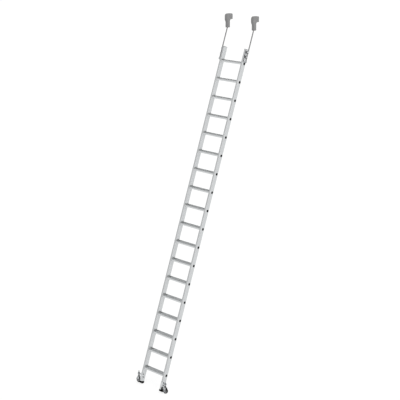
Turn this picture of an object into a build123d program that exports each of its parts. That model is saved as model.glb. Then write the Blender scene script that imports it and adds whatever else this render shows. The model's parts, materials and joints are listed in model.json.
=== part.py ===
from build123d import *
import math
import os

# Mobile shelf ladder: two box stiles with ribbed treads, hung on a shelf rail by two
# sliding hook rods and carried on the floor by two sprung wheels.
# Millimetres. Origin on the floor, midway between the two wheels' contact points.
# +Z up, +Y towards the shelf, +X to the right of a person climbing.

# Ladder frame
lean_angle = 70.0           # stile to floor, degrees
outer_width = 420.0         # over both stiles
tread_count = 18
tread_pitch = 250.0         # along the stile
first_tread = 190.0         # lower stile end to the first tread bolt, along the stile
top_margin = 190.0          # last tread bolt to the upper stile end, along the stile
tread_line = 40.0           # stile front face to the line of tread bolts

# Stile profile
stile_depth = 64.0
stile_thick = 28.0
stile_side_wall = 1.8
stile_edge_wall = 3.0
stile_corner = 3.0

# Tread profile, measured from the bolt axis
tread_front = 37.0
tread_back = 43.0
tread_top = 16.5
tread_skirt = 7.5
tread_wall = 2.0
tread_nose = 4.0
tread_heel = 1.5
tread_boss = 8.5
rib_pitch = 7.0
rib_width = 3.4
rib_height = 1.6
rib_margin = 4.0

# Tread bolt and its cover plug
bolt_size = 8.0
bolt_flats = 13.0
bolt_head = 5.3
bolt_flange = 18.0
bolt_flange_thick = 1.6
bolt_grip = 30.0
nut_thick = 6.5
plug_hole = 27.0
plug_flange = 30.0
plug_rim = 1.2
plug_dome = 2.6
plug_depth = 8.0
plug_wall = 1.8

# Fits
bolt_clearance = 0.2
thread_clearance = 0.05
running_clearance = 0.06
insert_clearance = 0.15
seam = 1.0                  # open joint between pieces that don't touch

# End cap
cap_thick = 4.0
cap_edge = 1.5
cap_insert = 22.0
cap_wall = 2.0

# Shoe, measured along and across the stile from its lower front corner
sole_lift = 6.5             # sole above the floor while the wheels carry the ladder
sole_depth = 48.0           # stile front face to the middle of the sole's flat
sole_drop = 29.0            # stile end to the middle of the sole's flat
sole_length = 28.0
sole_groove = 2.0
sole_groove_depth = 1.5
sole_groove_pitch = 7.0
sole_groove_count = 3
toe_drop = 24.0
toe_round = 6.0
sole_round = 12.0
heel_drop = 18.0
heel_round = 3.0
shoe_lip = 2.0
shoe_insert = 40.0
shoe_wall = 3.0
cheek_thick = 4.0
cheek_depth = 27.0
cheek_round = 5.0

# Castor
wheel_size = 80.0
wheel_gap = 9.0             # stile outer face to the tyre
tyre_width = 25.0
tyre_thick = 7.0
tyre_crown = 2.5
tyre_seat = 1.5
wheel_hub = 22.0
wheel_hub_width = 26.0
wheel_web = 5.0
wheel_rim_thick = 4.0
wheel_hole = 9.0
wheel_hole_count = 6
axle_size = 10.0
axle_flats = 16.0
axle_head = 6.4
axle_nut = 8.0
fork_sheet = 3.0
fork_gap = 28.0             # between the fork's legs
fork_bend = 2.0
fork_tip = 15.0             # radius of the fork's legs round the axle
fork_top_width = 38.0
fork_clearance = 4.0        # tyre to the underside of the fork's bridge
stem_size = 14.0
stem_flats = 11.0
stem_tip = 23.0             # stem beyond the lock nut
stem_chamfer = 1.5
stem_washer = 28.0
stem_washer_thick = 2.5
stem_nut_flats = 22.0
stem_nut = 11.0
stem_lock_nut = 7.0

# Castor spring
spring_wire = 3.2
spring_mean = 20.8          # mean coil diameter
spring_turns = 4.5
spring_length = 34.0        # between fork and lug
spring_seat = 0.25

# Castor bracket: sheet angle on the stile's outer and front faces, with a lug for the stem
bracket_sheet = 3.0
bracket_depth = 56.0
bracket_lap = 26.0          # angle's leg on the stile's front face
bracket_bend = 2.5
bracket_below = 8.0         # lower bolt to the angle's lower edge
bracket_above = 11.0        # upper bolt to the angle's upper edge
bracket_bolt_drop = 27.0    # lug to the lower bolt
bracket_bolt_rise = 9.5     # lug to the upper bolt
bracket_bolt_margin = 10.5  # stile's front edge to the upper bolt, level
lug_thick = 6.0
lug_radius = 19.0
lug_margin = 4.0            # stile's front edge to the lug's root, level
lug_root = 45.0
gusset_thick = 4.0
gusset_width = 30.0
gusset_height = 24.0
gusset_gap = 1.5            # lower bolt head to the first gusset
gusset_pitch = 17.0
gusset_count = 2

# Rod guide near the stile's upper end: a plate with two eyes and a plastic liner
guide_plate_thick = 4.0
guide_plate_length = 168.0
guide_plate_margin = 3.0    # plate edge to the stile's back face
guide_plate_top = 4.0       # plate edge to the stile's upper end
guide_plate_corner = 5.0
guide_bolt_back = 27.0      # stile's back face to the line of guide bolts
guide_bolt_gap = 1.5        # bolt head to the nearest eye
guide_bolt_length = 20.0
rivet_nut_size = 11.0       # blind rivet nut in the stile's outer wall
rivet_nut_length = 17.0
rivet_nut_collar = 15.0     # its upset part, behind the wall
rivet_nut_upset = 3.0
guide_eye_top = 36.0        # stile's upper end to the middle of the upper eye
guide_eye_pitch = 62.0
guide_eye_thick = 12.0
guide_eye_radius = 15.0
guide_eye_front = 28.0      # stile's front face to the eyes' roots on the plate
guide_eye_back = 48.0
liner_front = 0.5           # stile's front face to the liner's strip
liner_strip = 8.0
liner_strip_thick = 3.0
liner_margin = 3.0          # plate's ends to the strip's ends
liner_pad = 24.0            # length of the pads that carry the bushes
liner_pad_height = 6.0
liner_pad_back = 23.0       # stile's front face to the pads' back edges
liner_round = 1.5
liner_wall = 2.5            # bush between eye and rod
liner_flange = 3.0
liner_flange_radius = 13.5

# Hook rod
rod_size = 16.0
rod_offset = 29.3           # stile outer face to the rod's axis
rod_line = 27.0             # stile front face to the rod's axis
rod_below = 180.0           # rod's lower end below the stile's upper end
rod_reach = 294.0           # stile's upper end to the middle of the head's socket
rod_socket = 22.0           # rod beyond the middle of the socket
rod_chamfer = 1.5
collar_size = 26.0
collar_thick = 12.0
stop_nut_flats = 24.0
stop_nut_thick = 13.0
stop_nut_count = 2
stop_nut_end = 5.0          # rod showing below the stop nuts

# Hook head, measured from the middle of its socket
head_width = 42.0
head_edge = 3.5
neck_front = 27.0
neck_back = 20.0
neck_below = 30.0
neck_round = 6.0
shoulder_low = 44.0
shoulder_high = 74.0
shoulder_round = 10.0
hood_front = 16.0           # hood in front of the neck
hood_reach = 52.0           # hood behind the neck, over the rail
hood_low = 78.0
hood_high = 155.5
hood_crown = 4.0            # rise of the hood's arched top
hood_brow = 30.0            # round of the hood's upper front edge
hood_round = 15.0
hood_lip = 5.0
throat_round = 24.0
pocket_front = 8.0          # neck's back to the roller pocket
pocket_back = 4.0           # wall behind the roller pocket
pocket_clearance = 1.0
roller_size = 28.0
roller_waist = 19.0
roller_width = 38.0
roller_drop = 2.0           # roller's waist below the hood's underside
roller_axle = 8.0
roller_axle_head = 14.0
roller_axle_head_thick = 2.0
roller_axle_socket = 8.0

# Places that follow from the sizes
sin_lean = math.sin(math.radians(lean_angle))
cos_lean = math.cos(math.radians(lean_angle))
stile_length = first_tread + (tread_count - 1) * tread_pitch + top_margin
outer_face = outer_width / 2
inner_face = outer_face - stile_thick
stile_middle = outer_face - stile_thick / 2
foot_y = sole_drop * cos_lean - sole_depth * sin_lean
foot_z = sole_lift + sole_drop * sin_lean + sole_depth * cos_lean
stile_plane = Plane(origin=(0, foot_y, foot_z), x_dir=(1, 0, 0), z_dir=(0, cos_lean, sin_lean))
on_stile = Location(stile_plane)
tread_places = [first_tread + i * tread_pitch for i in range(tread_count)]

wheel_x = outer_face + wheel_gap + wheel_size / 2
wheel_z = wheel_size / 2
fork_width = fork_gap + 2 * fork_sheet
fork_top = wheel_size + fork_clearance + fork_sheet
lug_low = fork_top + spring_length
lug_high = lug_low + lug_thick
stem_top = lug_high + stem_washer_thick + stem_nut + stem_lock_nut + stem_tip
bolt_reach = bolt_flats / math.sqrt(3)
lower_bolt = lug_low - bracket_bolt_drop
upper_bolt = lug_high + bracket_bolt_rise
bracket_low = lower_bolt - bracket_below
bracket_high = upper_bolt + bracket_above
bracket_root = outer_face + bracket_sheet
plate_face = outer_face + guide_plate_thick
plate_front = liner_front + liner_strip + insert_clearance
guide_bolt_line = stile_depth - guide_bolt_back
bush_bore = rod_size / 2 + running_clearance
bush_rim = bush_bore + liner_wall
eye_places = (guide_eye_top, guide_eye_top + guide_eye_pitch)
bolt_step = guide_eye_thick / 2 + bolt_reach + guide_bolt_gap
guide_bolt_places = (eye_places[0] + bolt_step, eye_places[1] - bolt_step, eye_places[1] + bolt_step)
rod_x = outer_face + rod_offset
rod_low = stile_length - rod_below
rod_high = stile_length + rod_reach + rod_socket
head_place = on_stile * Pos(rod_x, rod_line, stile_length + rod_reach)
head_y = head_place.position.Y
head_z = head_place.position.Z
roller_y = neck_back + (pocket_front + hood_reach - pocket_back) / 2
roller_z = hood_low - roller_drop + roller_waist / 2
hood_back = neck_back + hood_reach
axle_start = neck_back + pocket_front - roller_axle_socket


def stile_front(height):
    """Y of the stile's front face at a height above the floor."""
    return foot_y + (height - foot_z) * cos_lean / sin_lean


def along_x(radius, start, end):
    """Cylinder on the X axis."""
    bar = Cylinder(radius, end - start, align=(Align.CENTER, Align.CENTER, Align.MIN))
    return Pos(start, 0, 0) * Rot(0, 90, 0) * bar


def along_y(radius, start, end):
    """Cylinder on the Y axis."""
    bar = Cylinder(radius, end - start, align=(Align.CENTER, Align.CENTER, Align.MIN))
    return Pos(0, start, 0) * Rot(-90, 0, 0) * bar


def along_z(radius, start, end):
    """Cylinder on the Z axis."""
    bar = Cylinder(radius, end - start, align=(Align.CENTER, Align.CENTER, Align.MIN))
    return Pos(0, 0, start) * bar


def hexagon(flats, thick):
    """Hexagonal prism standing on the XY plane."""
    return extrude(RegularPolygon(flats / 2, 6, major_radius=False), thick)


def nut(flats, thick, bore):
    """Hexagonal nut standing on the XY plane."""
    return hexagon(flats, thick) - along_z(bore / 2 + thread_clearance, 0, thick)


def through_bolt(length):
    """Bolt with its nut: head on the XY plane and above, shank and nut below."""
    shank = along_z(bolt_size / 2, -length - nut_thick - bolt_flange_thick, 0)
    bolt = hexagon(bolt_flats, bolt_head) + shank
    return [bolt, Pos(0, 0, -length - nut_thick) * nut(bolt_flats, nut_thick, bolt_size)]


def turned(points):
    """Closed outline of radius and height, turned about the Z axis."""
    outline = make_face(Polyline(*points, close=True))
    return revolve(Plane.XZ * outline, Axis.Z)


def stile():
    """Box-section stile with holes for plugs and bolts."""
    outer = RectangleRounded(stile_thick, stile_depth, stile_corner)
    inner = Rectangle(stile_thick - 2 * stile_side_wall, stile_depth - 2 * stile_edge_wall)
    tube = Pos(stile_middle, stile_depth / 2, 0) * extrude(outer - inner, stile_length)
    bolt_hole = bolt_size / 2 + bolt_clearance
    rivet_hole = rivet_nut_size / 2 + thread_clearance
    cuts = []
    for place in tread_places:
        cuts.append(Pos(0, tread_line, place) * along_x(plug_hole / 2, stile_middle, outer_face))
        cuts.append(Pos(0, tread_line, place) * along_x(bolt_hole, inner_face, stile_middle))
    for place in guide_bolt_places:
        along = stile_length - place
        cuts.append(Pos(0, guide_bolt_line, along) * along_x(rivet_hole, stile_middle, outer_face))
    tube = on_stile * (tube - cuts)
    return tube - bracket_bolt_holes(inner_face, outer_face)


def bracket_bolt_holes(start, end):
    """Clearance holes of the castor bracket's bolts."""
    hole = along_x(bolt_size / 2 + bolt_clearance, start, end)
    return [Pos(0, bracket_bolt_line(), z) * hole for z in (lower_bolt, upper_bolt)]


def bracket_bolt_line():
    """Y of the upright line of bracket bolts."""
    return stile_front(upper_bolt) + bracket_bolt_margin


def tread():
    """Hollow ribbed tread along X, its bolt axis on the X axis."""
    depth = tread_front + tread_back
    skin = tread_top - rib_height
    height = skin + tread_skirt
    middle = Pos((tread_back - tread_front) / 2, (skin - tread_skirt) / 2)
    outer = middle * Rectangle(depth, height)
    outer = fillet(outer.vertices().group_by(Axis.X)[0], tread_nose)
    outer = fillet(outer.vertices().group_by(Axis.X)[-1], tread_heel)
    cavity = middle * Rectangle(depth - 2 * tread_wall, height - 2 * tread_wall)
    web = Pos(0, skin / 2) * Rectangle(tread_wall, skin)
    boss = Circle(tread_boss)
    section = outer - (cavity - boss - web) + boss
    rib_count = int((depth - 2 * rib_margin) // rib_pitch)
    first_rib = -tread_front + (depth - (rib_count - 1) * rib_pitch) / 2
    for i in range(rib_count):
        rib = Rectangle(rib_width, 2 * rib_height, align=(Align.CENTER, Align.MAX))
        section += Pos(first_rib + i * rib_pitch, tread_top) * rib
    section -= Circle(bolt_size / 2 + thread_clearance)
    return extrude(Plane.YZ * section, inner_face, both=True)


def tread_bolts():
    """One flange bolt for each tread, inside the stile."""
    seat = inner_face + stile_side_wall
    shank = along_x(bolt_size / 2, seat - stile_side_wall - bolt_grip, seat)
    flange = along_x(bolt_flange / 2, seat, seat + bolt_flange_thick)
    head = Pos(seat + bolt_flange_thick, 0, 0) * Rot(0, 90, 0) * hexagon(bolt_flats, bolt_head)
    bolt = shank + flange + head
    return [on_stile * Pos(0, tread_line, place) * bolt for place in tread_places]


def plugs():
    """One domed push-in plug for each tread bolt hole."""
    sleeve = plug_hole / 2 - insert_clearance
    bore = sleeve - plug_wall
    rim = plug_flange / 2
    edge = Polyline((0, 0), (bore, 0), (bore, -plug_depth), (sleeve, -plug_depth),
                    (sleeve, 0), (rim, 0), (rim, plug_rim))
    dome = TangentArc((0, plug_dome), (rim, plug_rim), tangent=(1, 0))
    outline = make_face(edge + dome + Line((0, plug_dome), (0, 0)))
    plug = revolve(Plane.XZ * outline, Axis.Z)
    plug = Pos(outer_face, 0, 0) * Rot(0, 90, 0) * plug
    return [on_stile * Pos(0, tread_line, place) * plug for place in tread_places]


def stile_insert(length, wall):
    """Hollow spigot that fits in the stile's end, along Z."""
    width = stile_thick - 2 * stile_side_wall - 2 * insert_clearance
    depth = stile_depth - 2 * stile_edge_wall - 2 * insert_clearance
    section = Rectangle(width, depth) - Rectangle(width - 2 * wall, depth - 2 * wall)
    return Pos(stile_middle, stile_depth / 2, 0) * extrude(section, length)


def end_cap():
    """Cap in the stile's upper end."""
    cover = extrude(RectangleRounded(stile_thick, stile_depth, stile_corner), cap_thick)
    cover = chamfer(cover.edges().group_by(Axis.Z)[-1], cap_edge)
    cover = Pos(stile_middle, stile_depth / 2, stile_length) * cover
    spigot = Pos(0, 0, stile_length - cap_insert) * stile_insert(cap_insert, cap_wall)
    return on_stile * (cover + spigot)


def shoe():
    """Rubber shoe with a convex sole, a spigot in the stile and a cheek on its outer face."""
    front = (sole_depth - sole_length / 2 * sin_lean, -sole_drop - sole_length / 2 * cos_lean)
    back = (sole_depth + sole_length / 2 * sin_lean, -sole_drop + sole_length / 2 * cos_lean)
    corners = [(0, 0), (0, -toe_drop), front, back, (stile_depth, -heel_drop), (stile_depth, 0)]
    outline = make_face(Polyline(*corners, close=True))
    for corner, radius in ((corners[1], toe_round), (front, sole_round), (back, heel_round)):
        outline = fillet(outline.vertices().sort_by_distance((*corner, 0))[0], radius)
    block = extrude(Plane.YZ * outline, stile_thick / 2 + shoe_lip, both=True)
    block = Pos(stile_middle, 0, 0) * block
    cheek_top = (bracket_low - seam - foot_z) / sin_lean
    cheek = Rectangle(cheek_depth, cheek_top + toe_drop / 2, align=(Align.MIN, Align.MIN))
    cheek = fillet(cheek.vertices().sort_by(Axis.Y)[-2:].sort_by(Axis.X)[-1], cheek_round)
    cheek = Pos(outer_face, 0, -toe_drop / 2) * extrude(Plane.YZ * cheek, cheek_thick)
    body = on_stile * (block + cheek + stile_insert(shoe_insert, shoe_wall))
    grooves = []
    for i in range(sole_groove_count):
        y = (i - (sole_groove_count - 1) / 2) * sole_groove_pitch
        groove = Box(stile_thick + 4 * shoe_lip, sole_groove, 2 * sole_groove_depth)
        grooves.append(Pos(stile_middle, y, sole_lift) * groove)
    return body - grooves


def castor_bracket():
    """Bent angle on the stile's foot with a welded lug and two gussets."""
    to_corner = (Align.MAX, Align.MIN)
    outer = Rectangle(bracket_lap + bracket_sheet, bracket_depth + bracket_sheet, align=to_corner)
    outer = Pos(bracket_root, -bracket_sheet) * outer
    outer = fillet(outer.vertices().sort_by_distance((bracket_root, -bracket_sheet, 0))[0],
                   bracket_bend + bracket_sheet)
    inner = Pos(outer_face, 0) * Rectangle(bracket_lap, bracket_depth, align=to_corner)
    inner = fillet(inner.vertices().sort_by_distance((outer_face, 0, 0))[0], bracket_bend)
    height = bracket_high - bracket_low
    angle = on_stile * extrude(outer - inner, 2 * bracket_high)
    band = Box(2 * outer_width, 2 * outer_width, height, align=(Align.CENTER, Align.CENTER, Align.MIN))
    angle = angle & (Pos(0, 0, bracket_low) * band)
    rim = Pos(wheel_x, 0) * Circle(lug_radius)
    lug_front = stile_front(lug_low) + lug_margin
    edge = Line((bracket_root, lug_front), (bracket_root, lug_front + lug_root))
    plan = make_hull(rim.edges() + [edge])
    lug = Pos(0, 0, lug_low) * extrude(plan, lug_thick)
    lug -= Pos(wheel_x, 0, lug_low) * extrude(stem_section(running_clearance), lug_thick)
    bracket = angle + lug
    corner = make_face(Polyline((0, 0), (gusset_width, 0), (0, -gusset_height), close=True))
    gusset = extrude(Plane.XZ * corner, gusset_thick / 2, both=True)
    first_gusset = bracket_bolt_line() + bolt_reach + gusset_gap + gusset_thick / 2
    for i in range(gusset_count):
        bracket += Pos(bracket_root, first_gusset + i * gusset_pitch, lug_low) * gusset
    return bracket - bracket_bolt_holes(outer_face, bracket_root)


def bracket_bolts():
    """Two bolts with nuts through the bracket and the stile."""
    solids = through_bolt(stile_thick + bracket_sheet)
    places = [Pos(bracket_root, bracket_bolt_line(), z) for z in (lower_bolt, upper_bolt)]
    return [place * Rot(0, 90, 0) * solid for place in places for solid in solids]


def stem_section(clearance):
    """Round stem with two flats that keep it from turning in the lug."""
    round_part = Circle(stem_size / 2 + clearance)
    return round_part & Rectangle(2 * stem_size, stem_flats + 2 * clearance)


def castor_fork():
    """Pressed fork with two tapered legs and a stem on its bridge."""
    outer = Rectangle(fork_width, fork_top, align=(Align.CENTER, Align.MIN))
    outer = fillet(outer.vertices().group_by(Axis.Y)[-1], fork_bend + fork_sheet)
    inner = Rectangle(fork_gap, fork_top - fork_sheet, align=(Align.CENTER, Align.MIN))
    inner = fillet(inner.vertices().group_by(Axis.Y)[-1], fork_bend)
    channel = extrude(Plane.YZ * (outer - inner), wheel_size, both=True)
    leg_end = Pos(0, wheel_z) * Circle(fork_tip)
    bridge = Line((-fork_top_width / 2, fork_top), (fork_top_width / 2, fork_top))
    shape = extrude(Plane.XZ * make_hull(leg_end.edges() + [bridge]), fork_width, both=True)
    fork = channel & shape
    fork -= Pos(0, 0, wheel_z) * along_y(axle_size / 2 + running_clearance, -fork_width, fork_width)
    stem = along_z(stem_size / 2, fork_top, stem_top)
    stem = chamfer(stem.edges().group_by(Axis.Z)[-1], stem_chamfer)
    stem = stem & Box(stem_size, stem_flats, 2 * stem_top)
    return Pos(wheel_x, 0, 0) * (fork + stem)


def stem_nuts():
    """Washer, nut and lock nut that hold the stem on the lug."""
    bore = stem_size / 2 + thread_clearance
    washer = along_z(stem_washer / 2, 0, stem_washer_thick) - along_z(bore, 0, stem_washer_thick)
    low = Pos(0, 0, stem_washer_thick) * nut(stem_nut_flats, stem_nut, stem_size)
    high = Pos(0, 0, stem_washer_thick + stem_nut) * nut(stem_nut_flats, stem_lock_nut, stem_size)
    return [Pos(wheel_x, 0, lug_high) * piece for piece in (washer, low, high)]


def spring_points():
    """Quarter-turn points of the spring's centre line with their tangents."""
    radius = spring_mean / 2
    rise = spring_length - 2 * (spring_wire / 2 + spring_seat)
    slope = rise / (2 * math.pi * spring_turns * radius + 2 * spring_wire)
    low = fork_top + spring_wire / 2 + spring_seat + spring_wire * slope
    knots = []
    for i in range(int(round(4 * spring_turns)) + 1):
        turn = i * math.pi / 2
        point = Vector(radius * math.cos(turn), radius * math.sin(turn), low + slope * radius * turn)
        tangent = Vector(-math.sin(turn), math.cos(turn), slope).normalized()
        knots.append((point, tangent))
    return knots


def biarc(start, start_way, end, end_way):
    """Two arcs that leave the start and reach the end along the given ways."""
    chord = end - start
    ways = start_way + end_way
    square = 2 * (1 - start_way.dot(end_way))
    reach = (math.sqrt(chord.dot(ways) ** 2 + square * chord.dot(chord)) - chord.dot(ways)) / square
    joint = (start + start_way * reach + end - end_way * reach) * 0.5
    middle_way = end - end_way * reach - joint
    return [TangentArc(start, joint, tangent=start_way), TangentArc(joint, end, tangent=middle_way)]


def castor_spring():
    """Compression spring: one tube along quarter-turn biarcs with straight ends."""
    knots = spring_points()
    first, first_way = knots[0]
    last, last_way = knots[-1]
    path = [Line(first - first_way * spring_wire, first)]
    for (start, start_way), (end, end_way) in zip(knots, knots[1:]):
        path += biarc(start, start_way, end, end_way)
    path.append(Line(last, last + last_way * spring_wire))
    wire = Wire(path)
    section = Plane(origin=wire @ 0, z_dir=wire % 0) * Circle(spring_wire / 2)
    return Pos(wheel_x, 0, 0) * sweep(section, path=wire)


def spring_self_gap():
    """Least gap between the spring's turns, on points a tenth of a quarter turn apart."""
    radius = spring_mean / 2
    knots = spring_points()
    rise = (knots[-1][0].Z - knots[0][0].Z) / spring_turns
    steps = [i * math.pi / 20 for i in range(int(40 * spring_turns) + 1)]
    points = [Vector(radius * math.cos(t), radius * math.sin(t), rise * t / (2 * math.pi)) for t in steps]
    pairs = [(a, b) for i, a in enumerate(points) for b in points[i + 20:]]
    return min((a - b).length for a, b in pairs) - spring_wire


def wheel_rim():
    """Moulded rim: hub, web with round holes and a seat for the tyre."""
    hub = wheel_hub / 2
    seat = wheel_size / 2 - tyre_thick
    inside = seat - wheel_rim_thick
    bore = axle_size / 2 + running_clearance
    half = tyre_width / 2
    web = wheel_web / 2
    side = [(bore, wheel_hub_width / 2), (hub, wheel_hub_width / 2), (hub, web),
            (inside, web), (inside, half), (seat, half)]
    rim = turned(side + [(r, -z) for r, z in reversed(side)])
    ring = (hub + inside) / 2
    holes = [Rot(0, 0, i * 360 / wheel_hole_count) * Pos(ring, 0, 0) * along_z(wheel_hole / 2, -web, web)
             for i in range(wheel_hole_count)]
    return Pos(wheel_x, 0, wheel_z) * Rot(-90, 0, 0) * (rim - holes)


def tyre():
    """Tyre with a crowned tread and drawn-in side walls."""
    top = wheel_size / 2
    seat = top - tyre_thick + thread_clearance
    half = tyre_width / 2
    edge = top - tyre_crown
    sides = Polyline((edge, half), (seat + tyre_seat, half), (seat, half - tyre_seat),
                     (seat, tyre_seat - half), (seat + tyre_seat, -half), (edge, -half))
    crown = ThreePointArc((edge, half), (top, 0), (edge, -half))
    ring = revolve(Plane.XZ * make_face(sides + crown), Axis.Z)
    return Pos(wheel_x, 0, wheel_z) * Rot(-90, 0, 0) * ring


def wheel_axle():
    """Axle bolt through fork and hub, with its nut."""
    end = fork_width / 2
    nut_end = end + axle_nut + bolt_flange_thick
    head = Pos(0, -end - axle_head, 0) * Rot(-90, 0, 0) * hexagon(axle_flats, axle_head)
    bolt = along_y(axle_size / 2, -end, nut_end) + head
    axle_end = Pos(0, end, 0) * Rot(-90, 0, 0) * nut(axle_flats, axle_nut, axle_size)
    return [Pos(wheel_x, 0, wheel_z) * piece for piece in (bolt, axle_end)]


def guide_plate():
    """Plate on the stile's outer face with two eyes that hold the rod's bushes."""
    width = stile_depth - guide_plate_margin - plate_front
    plate = RectangleRounded(width, guide_plate_length, guide_plate_corner)
    low = stile_length - guide_plate_top - guide_plate_length / 2
    plate = extrude(Plane.YZ * plate, guide_plate_thick)
    plate = Pos(outer_face, plate_front + width / 2, low) * plate
    ring = Pos(rod_x, rod_line) * Circle(guide_eye_radius)
    root = Line((plate_face, guide_eye_front), (plate_face, guide_eye_back))
    eye = make_hull(ring.edges() + [root]) - Pos(rod_x, rod_line) * Circle(bush_rim + insert_clearance)
    for place in eye_places:
        plate += Pos(0, 0, stile_length - place) * extrude(eye, guide_eye_thick / 2, both=True)
    hole = along_x(bolt_size / 2 + bolt_clearance, outer_face, plate_face)
    plate -= [Pos(0, guide_bolt_line, stile_length - place) * hole for place in guide_bolt_places]
    return on_stile * plate


def rod_guide():
    """Moulded liner: a strip along the plate and, at each eye, a pad with a flanged bush."""
    length = guide_plate_length - 2 * liner_margin
    low = stile_length - guide_plate_top - liner_margin - length
    strip = Box(liner_strip_thick, liner_strip, length, align=(Align.MIN, Align.MIN, Align.MIN))
    guide = Pos(outer_face, liner_front, low) * strip
    pad_top = outer_face + liner_pad_height
    crest = [(pad_top, liner_pad_back), (pad_top, liner_front)]
    foot = [(outer_face, liner_front), (outer_face, liner_front + liner_strip)]
    step = [(plate_face, liner_front + liner_strip), (plate_face, liner_pad_back)]
    profile = make_face(Polyline(*foot, *step, *crest, close=True))
    for corner in crest:
        profile = fillet(profile.vertices().sort_by_distance((*corner, 0))[0], liner_round)
    pad = extrude(profile, liner_pad / 2, both=True)
    ring = Pos(rod_x, rod_line) * Circle(liner_flange_radius)
    root = Line((plate_face, liner_front + liner_strip), (plate_face, liner_pad_back))
    flange = extrude(make_hull(ring.edges() + [root]), liner_flange)
    bush = Pos(rod_x, rod_line, 0) * along_z(bush_rim, -guide_eye_thick / 2, guide_eye_thick / 2)
    for place in eye_places:
        at = Pos(0, 0, stile_length - place)
        guide += at * (pad + Pos(0, 0, guide_eye_thick / 2) * flange + bush)
    return on_stile * (guide - Pos(rod_x, rod_line, 0) * along_z(bush_bore, low, stile_length))


def rivet_nut():
    """Blind rivet nut hanging from the XY plane, its collar behind the stile's wall."""
    bore = bolt_size / 2 + thread_clearance
    body = rivet_nut_size / 2
    collar = rivet_nut_collar / 2
    upset = -stile_side_wall - rivet_nut_upset
    return turned([(bore, 0), (body, 0), (body, -stile_side_wall), (collar, -stile_side_wall),
                   (collar, upset), (body, upset), (body, -rivet_nut_length), (bore, -rivet_nut_length)])


def guide_bolts():
    """Bolts that hold the guide plate, in blind rivet nuts in the stile's outer wall."""
    bolt = hexagon(bolt_flats, bolt_head) + along_z(bolt_size / 2, -guide_bolt_length, 0)
    solids = (bolt, Pos(0, 0, -guide_plate_thick) * rivet_nut())
    places = [Pos(plate_face, guide_bolt_line, stile_length - place) for place in guide_bolt_places]
    return [on_stile * place * Rot(0, 90, 0) * solid for place in places for solid in solids]


def rod():
    """Straight steel rod from the guide to the hook head."""
    bar = along_z(rod_size / 2, rod_low, rod_high)
    bar = chamfer(bar.edges().filter_by(GeomType.CIRCLE), rod_chamfer)
    return on_stile * Pos(rod_x, rod_line, 0) * bar


def rod_collars():
    """Collar that rests on the upper bush, and stop nuts at the rod's lower end."""
    bore = rod_size / 2 + thread_clearance
    collar = along_z(collar_size / 2, 0, collar_thick) - along_z(bore, 0, collar_thick)
    seat = stile_length - guide_eye_top + guide_eye_thick / 2 + liner_flange
    pieces = [Pos(0, 0, seat) * collar]
    for i in range(stop_nut_count):
        low = rod_low + stop_nut_end + i * stop_nut_thick
        pieces.append(Pos(0, 0, low) * nut(stop_nut_flats, stop_nut_thick, rod_size))
    return [on_stile * Pos(rod_x, rod_line, 0) * piece for piece in pieces]


def head():
    """Moulded hook head: neck on the rod and a hood over the rail with a roller pocket."""
    nose = -neck_front - hood_front
    crest_end = hood_high - hood_crown
    corners = [((nose, crest_end), hood_brow), ((nose, shoulder_high), shoulder_round),
               ((-neck_front, shoulder_low), shoulder_round), ((-neck_front, -neck_below), neck_round),
               ((neck_back, -neck_below), neck_round), ((neck_back, hood_low), throat_round),
               ((hood_back, hood_low), hood_lip), ((hood_back, crest_end), hood_round)]
    walls = Polyline(*[point for point, radius in corners])
    crest = ThreePointArc((hood_back, crest_end), ((nose + hood_back) / 2, hood_high), (nose, crest_end))
    outline = make_face(walls + crest)
    for point, radius in corners:
        outline = fillet(outline.vertices().sort_by_distance((*point, 0))[0], radius)
    body = extrude(Plane.YZ * outline, head_width / 2, both=True)
    sides = body.faces().sort_by(Axis.X)
    body = fillet(sides[0].edges() + sides[-1].edges(), head_edge)
    pocket_width = roller_size + 2 * pocket_clearance
    pocket_length = hood_reach - pocket_front - pocket_back
    pocket_top = roller_z + roller_size / 2 + pocket_clearance
    pocket_low = hood_low - throat_round
    pocket = Box(pocket_width, pocket_length, pocket_top - pocket_low,
                 align=(Align.CENTER, Align.CENTER, Align.MIN))
    body -= Pos(0, roller_y, pocket_low) * pocket
    bore = along_y(roller_axle / 2 + running_clearance, axle_start, hood_back)
    body -= Pos(0, 0, roller_z) * bore
    body = Pos(rod_x, head_y, head_z) * body
    socket = along_z(rod_size / 2 + thread_clearance, 0, rod_high)
    return body - on_stile * Pos(rod_x, rod_line, 0) * socket


def roller():
    """Waisted roller that runs on the rail, its axis along Y."""
    half = roller_width / 2
    edge = roller_size / 2
    bore = roller_axle / 2 + running_clearance
    waist = ThreePointArc((edge, half), (roller_waist / 2, 0), (edge, -half))
    sides = Polyline((edge, -half), (bore, -half), (bore, half), (edge, half))
    body = revolve(Plane.XZ * make_face(waist + sides), Axis.Z)
    return Pos(rod_x, head_y + roller_y, head_z + roller_z) * Rot(-90, 0, 0) * body


def roller_pin():
    """Axle of the roller, with a flat head on the hood's back."""
    pin = along_y(roller_axle / 2, axle_start, hood_back)
    pin += along_y(roller_axle_head / 2, hood_back, hood_back + roller_axle_head_thick)
    return Pos(rod_x, head_y, head_z + roller_z) * pin


def write(node, shape):
    """One STEP file for one node; a list becomes a group of separate solids."""
    if isinstance(shape, list):
        shape = Compound(children=shape)
    export_step(shape, f"parts/{node}.step")


def mirrored(shape):
    """The same piece on the other side of the ladder."""
    if isinstance(shape, list):
        return [mirror(piece, about=Plane.YZ) for piece in shape]
    return mirror(shape, about=Plane.YZ)


os.makedirs("parts", exist_ok=True)

plain_tread = tread()
for number, place in enumerate(tread_places, start=1):
    at = on_stile * Pos(0, tread_line, place)
    write(f"tread_{number:02d}", Pos(*at.position) * plain_tread)

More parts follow.
